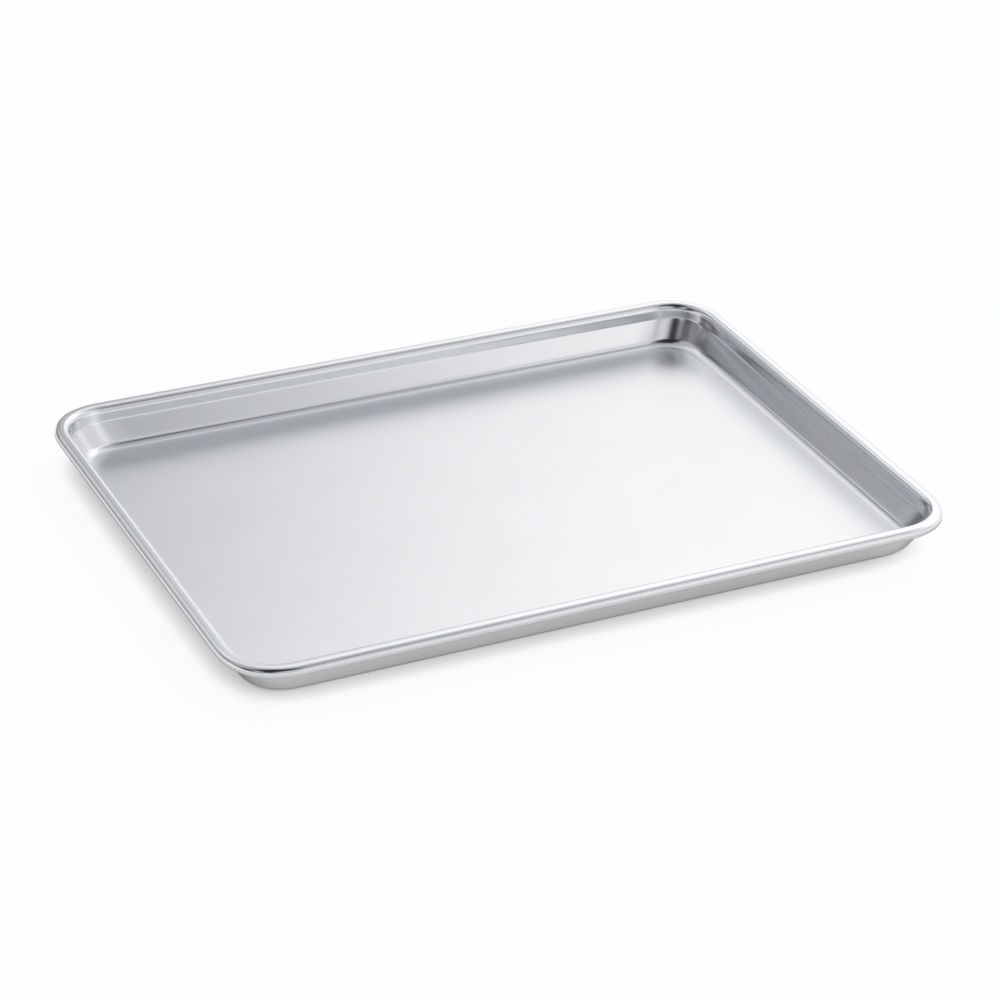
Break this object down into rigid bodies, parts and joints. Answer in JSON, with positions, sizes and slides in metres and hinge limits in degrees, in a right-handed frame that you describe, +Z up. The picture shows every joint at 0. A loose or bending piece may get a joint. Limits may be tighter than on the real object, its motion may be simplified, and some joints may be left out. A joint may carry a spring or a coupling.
{
  "type": "baking tray",
  "caption": "Shallow rectangular aluminium baking tray with a flat floor, sloping walls, round corners and a rim rolled round a steel wire.",
  "frame": {"origin": "middle of the flat underside that the tray rests on", "axes": "+X along the length, +Y across the width, +Z up out of the open top"},
  "size_m": [0.455, 0.328, 0.026],
  "materials": {
    "satin_aluminium": "satin, lightly brushed",
    "galvanised_wire": "dull galvanised"
  },
  "bodies": {
    "root": {"pan_sheet": "satin_aluminium", "rim_wire": "galvanised_wire"}
  },
  "joints": []
}
